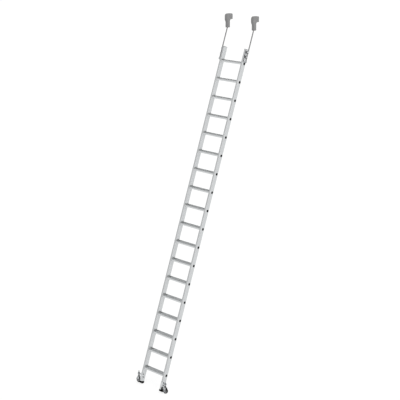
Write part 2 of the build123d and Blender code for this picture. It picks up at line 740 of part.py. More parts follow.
sides = {
    "stile": stile(),
    "plugs": plugs(),
    "tread_bolts": tread_bolts(),
    "end_cap": end_cap(),
    "shoe": shoe(),
    "castor_bracket": castor_bracket(),
    "bracket_bolts": bracket_bolts(),
    "castor_fork": castor_fork(),
    "stem_nuts": stem_nuts(),
    "wheel_rim": wheel_rim(),
    "tyre": tyre(),
    "wheel_axle": wheel_axle(),
    "guide_plate": guide_plate(),
    "rod_guide": rod_guide(),
    "guide_bolts": guide_bolts(),
    "rod": rod(),
    "rod_collars": rod_collars(),
    "head": head(),
    "roller": roller(),
    "roller_axle": roller_pin(),
}
for node, shape in sides.items():
    write(f"right_{node}", shape)
    write(f"left_{node}", mirrored(shape))

# Both springs are wound the same way, so the left one is moved and not mirrored.
spring = castor_spring()
write("right_castor_spring", spring)
write("left_castor_spring", Pos(-2 * wheel_x, 0, 0) * spring)
print(f"castor spring: least gap between turns {spring_self_gap():.2f} mm")
print(f"stile {stile_length:.0f} mm, head top {head_z + hood_high:.0f} mm above the floor")
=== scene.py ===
import json
import math
import bpy
import numpy as np
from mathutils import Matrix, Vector


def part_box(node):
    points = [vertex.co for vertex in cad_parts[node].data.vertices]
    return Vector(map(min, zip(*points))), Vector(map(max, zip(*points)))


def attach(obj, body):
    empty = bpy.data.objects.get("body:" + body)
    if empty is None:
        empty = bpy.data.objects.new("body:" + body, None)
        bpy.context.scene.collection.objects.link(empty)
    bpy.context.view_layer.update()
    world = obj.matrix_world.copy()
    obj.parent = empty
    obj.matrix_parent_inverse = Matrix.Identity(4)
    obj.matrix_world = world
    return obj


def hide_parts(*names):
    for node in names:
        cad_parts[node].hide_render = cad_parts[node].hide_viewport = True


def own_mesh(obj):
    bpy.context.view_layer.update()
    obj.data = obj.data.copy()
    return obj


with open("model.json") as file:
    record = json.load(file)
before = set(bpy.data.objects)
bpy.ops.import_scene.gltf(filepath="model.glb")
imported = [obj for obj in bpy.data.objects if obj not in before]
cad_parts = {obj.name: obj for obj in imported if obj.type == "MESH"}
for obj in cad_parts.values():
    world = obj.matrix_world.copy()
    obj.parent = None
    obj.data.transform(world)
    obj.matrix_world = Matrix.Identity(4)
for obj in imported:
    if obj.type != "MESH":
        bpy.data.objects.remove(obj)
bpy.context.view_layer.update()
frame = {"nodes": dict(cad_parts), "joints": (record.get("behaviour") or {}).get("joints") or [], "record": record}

nodes = frame["nodes"]
joints = {joint["name"]: joint for joint in frame["joints"]}
bodyOf = {node: body for body, names in frame["record"]["behaviour"]["bodies"].items() for node in names}
sides = {"left": -1, "right": 1}
mm = 0.001
leanAxis = np.array(joints["right_hook_slide"]["axis"])     # along the stiles, upwards
leanTurn = math.atan2(leanAxis[1], leanAxis[2])             # stile away from upright
depthAxis = np.array((0.0, leanAxis[2], -leanAxis[1]))      # square to the stiles, towards the shelf
print("frame loaded:", len(nodes), "nodes")


# Measures of the CAD pieces

measuring = {"levelGap": 0.1 * mm, "nearUpright": 0.8}


def solidsOf(name):
    # the separate solids of a CAD node: each point takes the least number among the points of its
    # triangles, again and again, until every solid has one number
    mesh = nodes[name].data
    places = np.empty(len(mesh.vertices) * 3, np.float32)
    mesh.vertices.foreach_get("co", places)
    corners = np.empty(len(mesh.loops), np.int32)
    mesh.loops.foreach_get("vertex_index", corners)
    points, index = np.unique(places.reshape(-1, 3), axis=0, return_inverse=True)
    triangles = index.ravel()[corners].reshape(-1, 3)
    label = np.arange(len(points))
    settled = False
    while not settled:
        spread = label.copy()
        np.minimum.at(spread, triangles, label[triangles].min(axis=1, keepdims=True))
        spread = spread[spread]
        settled = np.array_equal(spread, label)
        label = spread
    return [points[label == number].astype(float) for number in np.unique(label)]


def turnFrame(axis):
    # the axes of a turned piece as rows: two square to its axis, then the axis
    along = np.asarray(axis, float)
    helper = (0.0, 0.0, 1.0) if abs(along[2]) < measuring["nearUpright"] else (1.0, 0.0, 0.0)
    across = np.cross(helper, along)
    across /= np.linalg.norm(across)
    return np.array([across, np.cross(along, across), along])


def measure(points, turn):
    # a solid seen along its axis: the foot of the axis, the heights of its edges above the foot, and at
    # each height the largest radius, the smallest radius and the angle of the outermost point
    local = points @ turn.T
    middle = (local[:, :2].min(axis=0) + local[:, :2].max(axis=0)) / 2
    offset = local[:, :2] - middle
    reach = np.hypot(offset[:, 0], offset[:, 1])
    order = np.argsort(local[:, 2])
    level = np.empty(len(order), int)
    climb = np.diff(local[order, 2], prepend=local[order[0], 2])
    level[order] = np.cumsum(climb > measuring["levelGap"])
    heights = np.bincount(level, local[:, 2]) / np.bincount(level)
    order = np.lexsort((reach, level))
    outer = order[np.searchsorted(level[order], np.arange(len(heights)), side="right") - 1]
    inner = order[np.searchsorted(level[order], np.arange(len(heights)), side="left")]
    base = local[:, 2].min()
    return {"foot": middle @ turn[:2] + base * turn[2], "heights": heights - base,
            "length": np.ptp(local[:, 2]), "radius": reach[outer], "bore": reach[inner],
            "angle": np.arctan2(offset[outer, 1], offset[outer, 0])}


treadLow, treadHigh = (np.array(corner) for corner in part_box("tread_01"))
treadEnd = treadHigh[0]     # where the treads end at the stiles' inner faces
treadFront, treadBack = (float(depthAxis @ (0, y, treadHigh[2])) for y in (treadLow[1], treadHigh[1]))
plugSizes = [measure(points, turnFrame((1, 0, 0))) for points in solidsOf("right_plugs")]
plugHeights = sorted(float(leanAxis @ size["foot"]) for size in plugSizes)
plugRows = {"radius": float(plugSizes[0]["radius"].max()), "depth": float(depthAxis @ plugSizes[0]["foot"]),
            "lowest": plugHeights[0], "pitch": (plugHeights[-1] - plugHeights[0]) / (len(plugHeights) - 1)}
print("plug rows:", {name: round(value / mm, 2) for name, value in plugRows.items()})


# Nodes and colours

def linear(hexColour):
    # sRGB hex to linear RGBA: c / 12.92 below the knee, ((c + 0.055) / 1.055) ^ 2.4 above
    srgb = np.array([int(hexColour[i:i + 2], 16) for i in (1, 3, 5)]) / 255
    lin = np.where(srgb <= 0.04045, srgb / 12.92, ((srgb + 0.055) / 1.055) ** 2.4)
    return (*lin.tolist(), 1.0)


def addNode(tree, kind, settings=(), links=()):
    # one shader node: settings are (socket or property, value), links are (socket, source output)
    made = tree.nodes.new("ShaderNode" + kind)
    for name, value in settings:
        if isinstance(name, int) or name in made.inputs:
            made.inputs[name].default_value = value
        else:
            setattr(made, name, value)
    for name, source in links:
        tree.links.new(source, made.inputs[name])
    return made


def emptyTree(owner):
    # the node tree of a material or a world, with nothing in it yet
    owner.use_nodes = True
    owner.node_tree.nodes.clear()
    return owner.node_tree


def paintedShadeShare(tree, coordinates, steps):
    # how much painted shade lies on a place, as the product of smooth steps of some of these measures: the
    # distance from the ladder's middle, the depth square to the stiles, how far the surface faces up, the distance
    # from the nearest plug's axis, and the height off the nearest tread's top; for the last two, the height
    # along the stiles or above the floor is folded into one pitch
    place = coordinates.outputs["Object"]
    split = addNode(tree, "SeparateXYZ", (), [(0, place)])
    aside = addNode(tree, "Math", [("operation", "ABSOLUTE")], [(0, split.outputs["X"])])
    depth = addNode(tree, "VectorMath", [("operation", "DOT_PRODUCT"), (1, depthAxis)], [(0, place)])
    normal = addNode(tree, "SeparateXYZ", (), [(0, coordinates.outputs["Normal"])])
    along = addNode(tree, "VectorMath", [("operation", "DOT_PRODUCT"), (1, leanAxis)], [(0, place)])
    folded = []
    for source, start, pitch in ((along.outputs["Value"], plugRows["lowest"], plugRows["pitch"]),
                                 (split.outputs["Z"], treadHigh[2], plugRows["pitch"] * leanAxis[2])):
        beyond = addNode(tree, "Math", [("operation", "SUBTRACT"), (1, start)], [(0, source)])
        folded.append(addNode(tree, "Math", [("operation", "WRAP"), (1, pitch / 2), (2, -pitch / 2)],
                              [(0, beyond.outputs[0])]).outputs[0])
    behind = addNode(tree, "Math", [("operation", "SUBTRACT"), (1, plugRows["depth"])],
                     [(0, depth.outputs["Value"])])
    offset = addNode(tree, "CombineXYZ", (), [(0, folded[0]), (1, behind.outputs[0])])
    around = addNode(tree, "VectorMath", [("operation", "LENGTH")], [(0, offset.outputs[0])])
    offTread = addNode(tree, "Math", [("operation", "ABSOLUTE")], [(0, folded[1])])
    sources = {"aside": aside.outputs[0], "depth": depth.outputs["Value"], "up": normal.outputs["Z"],
               "around": around.outputs["Value"], "offTread": offTread.outputs[0]}
    shares = []
    for measured, (bare, shaded) in steps.items():
        step = addNode(tree, "MapRange", [("interpolation_type", "SMOOTHSTEP"),
                                          ("From Min", min(bare, shaded)), ("From Max", max(bare, shaded)),
                                          ("To Min", float(bare > shaded)), ("To Max", float(bare < shaded))],
                       [("Value", sources[measured])])
        shares.append(step.outputs[0])
    share = shares[0]
    for other in shares[1:]:
        share = addNode(tree, "Math", [("operation", "MULTIPLY")], [(0, share), (1, other)]).outputs[0]
    return share


texture = {"cloudDetail": 4.0, "grainDetail": 3.0, "colourRange": (0.35, 0.65), "roughRange": (0.3, 0.7),
           "relief": 0.4 * mm}


def finish(name, look):
    # One finish on the object's own coordinates. A slow cloud and a fine grain, each as large as it is on
    # the real material, are mixed into one factor: it runs the colour from dull to pale and the roughness
    # from smooth to rough. The grain alone makes the relief. Where a finish has painted shade, the colour goes
    # over to the shade's colour by its share. Sockets of a mix go by number: 0 is the share, 2 and 3 are plain
    # numbers, 6 and 7 are colours.
    material = bpy.data.materials.new(name)
    tree = emptyTree(material)
    coordinates = addNode(tree, "TexCoord")
    place = coordinates.outputs["Object"]
    grainPlace = addNode(tree, "Mapping", [("vector_type", "TEXTURE"), ("Scale", look["grain"]),
                                           ("Rotation", look.get("turn", (0, 0, 0)))], [("Vector", place)])
    cloud = addNode(tree, "TexNoise", [("Scale", 1 / look["cloud"]), ("Detail", texture["cloudDetail"])],
                    [("Vector", place)])
    grain = addNode(tree, "TexNoise", [("Scale", 1.0), ("Detail", texture["grainDetail"])],
                    [("Vector", grainPlace.outputs[0])])
    factor = addNode(tree, "Mix", [("data_type", "FLOAT"), (0, look["grainShare"])],
                     [(2, cloud.outputs["Fac"]), (3, grain.outputs["Fac"])])
    colour = addNode(tree, "ValToRGB", (), [("Fac", factor.outputs[0])])
    for element, position, end in zip(colour.color_ramp.elements, texture["colourRange"], ("dull", "pale")):
        element.position = position
        element.color = linear(look[end])
    shown = colour.outputs[0]
    # painted shade: each shade colour is mixed in by its share
    for paintedShade, steps in look.get("paintedShade", ()):
        share = paintedShadeShare(tree, coordinates, steps)
        shown = addNode(tree, "Mix", [("data_type", "RGBA"), (7, linear(paintedShade))],
                        [(0, share), (6, shown)]).outputs[2]
    low, high = texture["roughRange"]
    rough = addNode(tree, "MapRange", [("From Min", low), ("From Max", high), ("To Min", look["smooth"]),
                                       ("To Max", look["rough"])], [("Value", factor.outputs[0])])
    bump = addNode(tree, "Bump", [("Strength", look["bump"]), ("Distance", texture["relief"])],
                   [("Height", grain.outputs["Fac"])])
    shader = addNode(tree, "BsdfPrincipled", look["surface"],
                     [("Base Color", shown), ("Roughness", rough.outputs[0]), ("Normal", bump.outputs[0])])
    addNode(tree, "OutputMaterial", (), [("Surface", shader.outputs[0])])
    return material


def dress(material, *names):
    # gives CAD nodes their finish
    for name in names:
        held = nodes[name].data.materials
        held.clear()
        held.append(material)


def both(name):
    # the left node and the right node of one kind
    return [f"{side}_{name}" for side in sides]


# Finishes

# Painted shade on the aluminium: its colour, then for each measure where the metal is bare and where it is shaded
# painted contact shadow: a dark ring round each plug on the stiles' outer faces
plugRimShadow = ("#101112", {"around": (plugRows["radius"] + 4 * mm, plugRows["radius"] + 1.5 * mm),
                       "aside": (treadEnd + 20 * mm, treadEnd + 24 * mm)})
# painted shade: a band on the stiles' inner faces at the height of each tread's top, where tread and stile meet
treadJointShade = ("#ACADAD", {"offTread": (24 * mm, 8 * mm), "aside": (treadEnd + 4 * mm, treadEnd + 2 * mm)})
# painted shade: darker on the treads' tops towards the stiles and the rear edge
treadEndShade = ("#7A7B7B", {"aside": (treadEnd - 55 * mm, treadEnd - 8 * mm), "up": (0.5, 0.9),
                         "depth": [treadFront + share * (treadBack - treadFront) for share in (0.38, 0.68)]})
# What finishes of one kind share: small steel pieces, fine mouldings, rubber
smallSteel = {"surface": [("Metallic", 1.0)], "cloud": 10 * mm, "grain": 3 * (1.5 * mm,), "grainShare": 0.4,
              "smooth": 0.32, "rough": 0.46, "bump": 0.1}
fineMoulding = {"grain": 3 * (0.8 * mm,), "grainShare": 0.3, "bump": 0.1}
rubber = {"grain": 3 * (1.2 * mm,), "grainShare": 0.3}

# Extruded aluminium, satin anodised: pale and softly lit, with faint die lines along the profile, a narrow
# dark ring of painted contact shadow round each plug on the outer face, and a band of painted shade on the inner
# face by each tread
stileAluminium = finish("satinAnodisedAluminium", {
    "surface": [("Metallic", 0.8)], "pale": "#CBCDCE", "dull": "#C5C7C8", "turn": (-leanTurn, 0, 0),
    "paintedShade": [plugRimShadow, treadJointShade], "cloud": 110 * mm, "grain": (4 * mm, 4 * mm, 400 * mm), "grainShare": 0.5,
    "smooth": 0.2, "rough": 0.3, "bump": 0.08})
# Extruded aluminium as it leaves the die: darker, a clearer mirror, lines along the tread, and painted shade
# on the tops in the rear corners at the stiles
treadAluminium = finish("millFinishAluminium", {
    "surface": [("Metallic", 1.0)], "pale": "#CFD1D2", "dull": "#C8CACB", "paintedShade": [treadEndShade],
    "cloud": 110 * mm, "grain": (400 * mm, 4 * mm, 4 * mm), "grainShare": 0.5,
    "smooth": 0.17, "rough": 0.25, "bump": 0.05})
# Rolled aluminium plate: pale, with short brushed lines
plateAluminium = finish("brushedAluminiumPlate", {
    "surface": [("Metallic", 0.6)], "pale": "#D6D8D9", "dull": "#CFD1D2", "turn": (-leanTurn, 0, 0),
    "cloud": 60 * mm, "grain": (1.5 * mm, 1.5 * mm, 40 * mm), "grainShare": 0.6,
    "smooth": 0.36, "rough": 0.46, "bump": 0.08})
# Sheet steel of the brackets, bright zinc: pale grey with soft blotches
zincSteel = finish("brightZincOnSteel", {
    "surface": [("Metallic", 0.7)], "pale": "#D9DBDC", "dull": "#CBCECF",
    "cloud": 14 * mm, "grain": 3 * (2 * mm,), "grainShare": 0.3, "smooth": 0.3, "rough": 0.44, "bump": 0.08})
# Pressed forks, zinc dulled by passivation: a shade darker and smoother
forkSteel = finish("passivatedZincOnSteel", {
    "surface": [("Metallic", 0.9)], "pale": "#BEC0C1", "dull": "#ADB0B2",
    "cloud": 12 * mm, "grain": 3 * (2 * mm,), "grainShare": 0.3, "smooth": 0.28, "rough": 0.4, "bump": 0.08})
# Drawn bar: a smooth grey mirror with lines along its length
rodSteel = finish("drawnBrightSteel", {
    "surface": [("Metallic", 1.0)], "pale": "#878787", "dull": "#7A7A7A", "turn": (-leanTurn, 0, 0),
    "cloud": 40 * mm, "grain": (1.5 * mm, 1.5 * mm, 90 * mm), "grainShare": 0.5,
    "smooth": 0.24, "rough": 0.36, "bump": 0.05})
# Bolts and nuts, dull zinc: mid grey, a little uneven
boltSteel = finish("dullZincOnSteel", {**smallSteel, "pale": "#8A8C8E", "dull": "#77797C"})
# Nuts and collars of the rods, clear zinc: a lighter grey
nutSteel = finish("clearZincOnSteel", {**smallSteel, "pale": "#B0B2B4", "dull": "#A0A2A4"})
# Bolts of the brackets and guides, black zinc: dark grey
darkBoltSteel = finish("blackZincOnSteel", {
    **smallSteel, "pale": "#55575A", "dull": "#45474A", "smooth": 0.34, "rough": 0.48})
# Wound spring wire, phosphated and oiled: dark grey
springSteel = finish("phosphatedSpringSteel", {
    "surface": [("Metallic", 1.0)], "pale": "#77797B", "dull": "#636567",
    "cloud": 8 * mm, "grain": 3 * (1 * mm,), "grainShare": 0.4, "smooth": 0.35, "rough": 0.5, "bump": 0.1})
# Moulded black plugs: near black, spark-eroded grain
blackPlastic = finish("blackPolypropylene", {
    **fineMoulding, "surface": [("Metallic", 0.0), ("IOR", 1.49), ("Specular IOR Level", 0.12)],
    "pale": "#070708", "dull": "#030303", "cloud": 30 * mm, "smooth": 0.42, "rough": 0.52})
# Moulded rod guides: dark grey, dull
darkPlastic = finish("darkGreyNylon", {
    **fineMoulding, "surface": [("Metallic", 0.0), ("IOR", 1.53), ("Specular IOR Level", 0.3)],
    "pale": "#525355", "dull": "#48494B", "cloud": 25 * mm, "smooth": 0.46, "rough": 0.56})
# Moulded end caps: dark grey, slightly waxy
capPlastic = finish("darkGreyPolyethylene", {
    **fineMoulding, "surface": [("Metallic", 0.0), ("IOR", 1.51), ("Specular IOR Level", 0.4)],
    "pale": "#3E3F40", "dull": "#343536", "cloud": 25 * mm, "smooth": 0.42, "rough": 0.52})
# Moulded wheel rims: mid grey, hard and a little glossier
rimPlastic = finish("greyPolypropylene", {
    **fineMoulding, "surface": [("Metallic", 0.0), ("IOR", 1.49), ("Specular IOR Level", 0.4)],
    "pale": "#8C8D8E", "dull": "#828384", "cloud": 20 * mm, "smooth": 0.38, "rough": 0.48})
# Moulded hook heads: neutral mid grey with a coarse dull grain
headPlastic = finish("greyGlassFilledNylon", {
    "surface": [("Metallic", 0.0), ("IOR", 1.53), ("Specular IOR Level", 0.4)],
    "pale": "#7E7E7E", "dull": "#757575", "cloud": 40 * mm, "grain": 3 * (1 * mm,),
    "grainShare": 0.3, "smooth": 0.46, "rough": 0.58, "bump": 0.14})
# Turned rollers: milky off-white
rollerPlastic = finish("naturalNylon", {
    "surface": [("Metallic", 0.0), ("IOR", 1.53)],
    "pale": "#E2DFD6", "dull": "#D6D2C7", "cloud": 18 * mm, "grain": 3 * (1 * mm,),
    "grainShare": 0.4, "smooth": 0.38, "rough": 0.48, "bump": 0.06})
# Moulded shoes: black and dull
blackRubber = finish("blackRubber", {
    **rubber, "surface": [("Metallic", 0.0), ("IOR", 1.52), ("Specular IOR Level", 0.1)],
    "pale": "#060606", "dull": "#020202", "cloud": 18 * mm, "smooth": 0.66, "rough": 0.8, "bump": 0.2})
# Tyres: black with a greyer bloom
tyreRubber = finish("greyBlackTyreRubber", {
    **rubber, "surface": [("Metallic", 0.0), ("IOR", 1.52), ("Specular IOR Level", 0.12)],
    "pale": "#111112", "dull": "#0A0A0B", "cloud": 14 * mm, "smooth": 0.6, "rough": 0.74, "bump": 0.18})

dress(treadAluminium, *(name for name in nodes if name.startswith("tread_")))
worn = {"stile": stileAluminium, "guide_plate": plateAluminium, "castor_bracket": zincSteel,
        "castor_fork": forkSteel, "castor_spring": springSteel, "rod": rodSteel, "rod_collars": nutSteel,
        "tread_bolts": boltSteel, "stem_nuts": boltSteel, "wheel_axle": boltSteel, "roller_axle": boltSteel,
        "bracket_bolts": darkBoltSteel, "guide_bolts": darkBoltSteel, "plugs": blackPlastic,
        "rod_guide": darkPlastic, "end_cap": capPlastic, "wheel_rim": rimPlastic, "head": headPlastic,
        "roller": rollerPlastic, "shoe": blackRubber, "tyre": tyreRubber}
for kind, material in worn.items():
    dress(material, *both(kind))
print("finishes:", len(bpy.data.materials))


# Surfaces

drawing = {"sharpAngle": 32.0, "pointsRound": 48, "rowsPerTurn": 6}
hexagon = {"face": 0.475, "cone": 30.0, "rows": 5, "sink": 0.08}
bolt = {"start": 0.6, "washerHeight": 0.4 * mm, "washerRadius": 0.48}


def turned(rows, turn, foot, flats=None, corners=6, angle=0.0, pitch=1.0, count=drawing["pointsRound"]):
    # points round an axis for rows of (height, radius, thread depth):
    # r = min(radius, flats / 2 / cos(t folded into one side))
    #     - depth * |2 frac(height / pitch - t / 2 pi) - 1|
    height, radius, depth = np.asarray(rows, float).T[:, :, None]
    t = np.linspace(0, 2 * math.pi, count, endpoint=False)[None, :]
    reach = radius + 0 * t
    if flats:
        half = math.pi / corners
        reach = np.minimum(reach, flats / 2 / np.cos((t + half) % (2 * half) - half))
    reach = reach - depth * np.abs(2 * ((height / pitch - t / (2 * math.pi)) % 1) - 1)
    local = np.stack([reach * np.cos(t + angle), reach * np.sin(t + angle), height + 0 * t], axis=-1)
    return foot + local @ turn


def closed(grid, ring=False):
    # a grid of points, round in its second index, as a closed surface: quads, then a face at each end,
    # or quads all the way round where the first index is a ring too
    rows, count = grid.shape[:2]
    i, j = np.mgrid[0:rows if ring else rows - 1, 0:count]
    up, side = (i + 1) % rows, (j + 1) % count
    quads = np.stack([i * count + j, i * count + side, up * count + side, up * count + j], axis=-1)
    ends = [] if ring else [np.arange(count)[::-1], np.arange(count) + (rows - 1) * count]
    corners = np.concatenate([quads.ravel(), *ends])
    sizes = np.array([4] * (quads.size // 4) + [count] * len(ends))
    return grid.reshape(-1, 3), corners, sizes


def addObject(name, data):
    # puts a mesh, a lamp or a camera into the scene, at the origin
    made = bpy.data.objects.new(name, data)
    bpy.context.scene.collection.objects.link(made)
    return made


def addPiece(name, surfaces, material, body, replaced=None):
    # joins closed surfaces into one mesh, smooth but for edges that turn by more than the sharp angle
    starts = np.cumsum([0] + [len(surface[0]) for surface in surfaces])
    points = np.concatenate([surface[0] for surface in surfaces])
    corners = np.concatenate([surface[1] + start for surface, start in zip(surfaces, starts)])
    sizes = np.concatenate([surface[2] for surface in surfaces])
    mesh = bpy.data.meshes.new(name)
    mesh.vertices.add(len(points))
    mesh.vertices.foreach_set("co", points.ravel().astype(np.float32))
    mesh.loops.add(len(corners))
    mesh.loops.foreach_set("vertex_index", corners.astype(np.int32))
    mesh.polygons.add(len(sizes))
    mesh.polygons.foreach_set("loop_start", (np.cumsum(sizes) - sizes).astype(np.int32))
    mesh.update(calc_edges=True)
    mesh.shade_smooth()
    mesh.set_sharp_from_angle(angle=math.radians(drawing["sharpAngle"]))
    mesh.materials.append(material)
    piece = addObject(name, mesh)
    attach(piece, body)
    if replaced:
        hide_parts(replaced)
    return piece


def plain(*pairs):
    # rows without a thread
    return np.array([(height, radius, 0.0) for height, radius in pairs])


def threadRows(low, high, radius, thread):
    # rows close enough to draw each turn of a thread
    heights = np.arange(low, high, thread["pitch"] / drawing["rowsPerTurn"])
    return np.column_stack([heights, np.full_like(heights, radius), np.full_like(heights, thread["depth"])])


def hexRows(low, high, flats, bothEnds):
    # a hexagon between two heights, its corners taken off by a cone: fall = (r - face) * tan(cone)
    corner, face = flats / math.sqrt(3), hexagon["face"] * flats
    r = np.linspace(corner, face, hexagon["rows"])
    fall = (r - face) * math.tan(math.radians(hexagon["cone"]))
    top = np.column_stack([high - fall, r, 0 * r])
    bottom = np.column_stack([low + fall, r, 0 * r])[::-1]
    return np.concatenate([bottom if bothEnds else plain((low, corner)), top])


def nutSurface(low, high, flats, bore, turn, foot, angle):
    # hexagon nut: up its outside and down its bore, with a countersink at both ends of the bore
    sink = hexagon["sink"] * flats
    inside = plain((high, bore + sink), (high - sink, bore), (low + sink, bore), (low, bore + sink))
    rows = np.concatenate([hexRows(low, high, flats, True), inside])
    return closed(turned(rows, turn, foot, flats, angle=angle), ring=True)


def ringSurface(low, high, radius, bore, edge, turn, foot):
    # round collar or washer with its outer edges taken off
    rows = plain((low, radius - edge), (low + edge, radius), (high - edge, radius), (high, radius - edge),
                 (high, bore), (low, bore))
    return closed(turned(rows, turn, foot), ring=True)


def boltSurface(size, turn, thread):
    # bolt: chamfered end, thread, plain shank, a thin washer face and a hexagon head
    under, top = size["heights"][1], size["length"]
    shank, flats = size["radius"][0], size["radius"][-1] * math.sqrt(3)
    start, washerRadius = bolt["start"] * thread["pitch"], bolt["washerRadius"] * flats
    seat, threaded = under + bolt["washerHeight"], min(thread["length"], under)
    middle = plain((threaded, shank), (under, shank), (under, washerRadius), (seat, washerRadius))
    rows = np.concatenate([plain((0, shank - thread["depth"])), threadRows(start, threaded, shank, thread),
                           middle, hexRows(seat, top, flats, False)])
    return closed(turned(rows, turn, size["foot"], flats, angle=size["angle"][-1], pitch=thread["pitch"]))


def boltGroup(node, axis, thread, suffix, material):
    # bolts, nuts and rivet nuts of one node, told apart by their edges along the axis: three heights
    # make a bolt, two a nut, more a rivet nut with its upset collar
    turn = turnFrame(axis)
    surfaces = []
    for points in solidsOf(node):
        size = measure(points, turn)
        heights, radius, bore = size["heights"], size["radius"], size["bore"].min()
        if len(heights) == 3:
            surfaces.append(boltSurface(size, turn, thread))
        elif len(heights) == 2:
            surfaces.append(nutSurface(0, size["length"], radius[0] * math.sqrt(3), bore, turn, size["foot"],
                                       size["angle"][0]))
        else:
            sleeve = radius[0]
            rows = plain((0, sleeve), (heights[1], sleeve), (heights[1], radius.max()),
                         (heights[2], radius.max()), (heights[2], sleeve), (size["length"], sleeve),
                         (size["length"], bore), (0, bore))
            surfaces.append(closed(turned(rows, turn, size["foot"]), ring=True))
    addPiece(f"{node}_{suffix}", surfaces, material, bodyOf[node], node)


# Plugs over the tread bolts

plug = {"rim": 1.2 * mm, "edge": 0.4 * mm, "ringAt": 0.72, "ringWidth": 0.7 * mm, "ringDepth": 0.3 * mm,
        "tip": 0.5 * mm, "rows": 28, "count": 40}


def plugSurface(points, turn):
    # push-in plug: r goes from the hollow's middle round the sleeve and the rim to the dome's middle;
    # dome height = top - rise * (r / rim) ^ 2 - ring depth * exp(-((r - ring) / ring width) ^ 2)
    size = measure(points, turn)
    seat, top, rim = size["heights"][1], size["length"], size["radius"].max()
    sleeve, bore, edge = size["radius"][0], size["bore"][0], plug["edge"]
    shoulder = seat + plug["rim"]
    r = np.linspace(rim - edge, plug["tip"], plug["rows"])
    ring = plug["ringDepth"] * np.exp(-((r - plug["ringAt"] * rim) / plug["ringWidth"]) ** 2)
    dome = np.column_stack([top - (top - shoulder) * (r / rim) ** 2 - ring, r, 0 * r])
    rows = np.concatenate([plain((seat, plug["tip"]), (seat, bore), (0, bore), (0, sleeve), (seat, sleeve),
                                 (seat, rim - edge), (seat + edge, rim), (shoulder - edge, rim)), dome])
    return closed(turned(rows, turn, size["foot"], count=plug["count"]))


for side, sign in sides.items():
    node = f"{side}_plugs"
    outward = turnFrame((sign, 0, 0))
    addPiece(f"{node}_domed", [plugSurface(points, outward) for points in solidsOf(node)], blackPlastic,
             bodyOf[node], node)
print("plugs made")


# Bolts, nuts and washers

boltThread = {"pitch": 1.25 * mm, "depth": 0.6 * mm, "length": 16 * mm}
axleThread = {"pitch": 1.5 * mm, "depth": 0.75 * mm, "length": 14 * mm}
stemThread = {"pitch": 2.0 * mm, "depth": 0.9 * mm, "proud": 0.15 * mm, "sunk": 0.05 * mm}
washer = {"edge": 0.4 * mm}

for side, sign in sides.items():
    boltGroup(f"{side}_bracket_bolts", (sign, 0, 0), boltThread, "chamfered", darkBoltSteel)
    boltGroup(f"{side}_guide_bolts", (sign, 0, 0), boltThread, "chamfered", darkBoltSteel)
    boltGroup(f"{side}_wheel_axle", (0, -1, 0), axleThread, "threaded", boltSteel)


def stemHardware(side):
    # washer, nut and lock nut stacked on the lug, each from one height of the stack to the next, and the
    # thread of the stem above them: a sleeve whose ridges stand just proud of the stem's round sides and
    # stay inside its two flats
    node, fork = f"{side}_stem_nuts", f"{side}_castor_fork"
    upright = turnFrame((0, 0, 1))
    stack = measure(np.concatenate(solidsOf(node)), upright)
    foot, heights, bore = stack["foot"], stack["heights"], stack["bore"].min()
    flats, angle = stack["radius"][-1] * math.sqrt(3), stack["angle"][-1]
    surfaces = [ringSurface(0, heights[1], stack["radius"][0], bore, washer["edge"], upright, foot)]
    surfaces += [nutSurface(low, high, flats, bore, upright, foot, angle)
                 for low, high in zip(heights[1:], heights[2:])]
    addPiece(f"{node}_chamfered", surfaces, boltSteel, bodyOf[node], node)
    stem = np.concatenate(solidsOf(fork))
    stem = stem[stem[:, 2] > foot[2]]
    across = np.ptp(stem[:, :2], axis=0)
    rows = threadRows(heights[-1], stem[:, 2].max() - foot[2] - stemThread["pitch"],
                      across[0] / 2 + stemThread["proud"], stemThread)
    sleeve = turned(rows, upright, foot, across[1] - 2 * stemThread["sunk"], corners=2,
                    angle=math.atan2(upright[1, 1], upright[0, 1]), pitch=stemThread["pitch"])
    addPiece(f"{side}_stem_thread", [closed(sleeve)], forkSteel, bodyOf[fork])


for side in sides:
    stemHardware(side)
print("bolts and nuts made")


# Hook rods with their collars and stop nuts

rodThread = {"pitch": 2.0 * mm, "depth": 0.9 * mm, "beyond": 9 * mm}
collar = {"edge": 0.8 * mm}


def rodHardware(side):
    # rod with both ends chamfered and its lower end threaded for the stop nuts; of the stops' heights, the
    # first three are those of the two nuts and the other two those of the collar
    rodNode, stopNode = f"{side}_rod", f"{side}_rod_collars"
    lean = turnFrame(leanAxis)
    rod = measure(solidsOf(rodNode)[0], lean)
    stops = measure(np.concatenate(solidsOf(stopNode)), lean)
    heights, bore = stops["heights"], stops["bore"].min()
    nutsTop = heights[2] + (stops["foot"] - rod["foot"]) @ leanAxis
    radius, end = rod["radius"].max(), rod["radius"][0]
    chamfer, threaded = rod["heights"][1], nutsTop + rodThread["beyond"]
    upper = plain((threaded, radius), (rod["length"] - chamfer, radius), (rod["length"], end))
    rows = np.concatenate([plain((0, end)), threadRows(chamfer, threaded, radius, rodThread), upper])
    bar = closed(turned(rows, lean, rod["foot"], pitch=rodThread["pitch"]))
    addPiece(f"{rodNode}_threaded", [bar], rodSteel, bodyOf[rodNode], rodNode)
    flats, angle = stops["radius"][0] * math.sqrt(3), stops["angle"][0]
    surfaces = [nutSurface(low, high, flats, bore, lean, stops["foot"], angle)
                for low, high in zip(heights[:2], heights[1:3])]
    surfaces.append(ringSurface(heights[3], heights[4], stops["radius"][4], bore, collar["edge"], lean,
                                stops["foot"]))
    addPiece(f"{stopNode}_chamfered", surfaces, nutSteel, bodyOf[stopNode], stopNode)


for side in sides:
    rodHardware(side)
print("rods made")


# Castor springs

spring = {"wire": 3.2 * mm, "closedTurns": 0.75, "openTurns": 4.5, "ease": 0.3, "steps": 260, "round": 14}


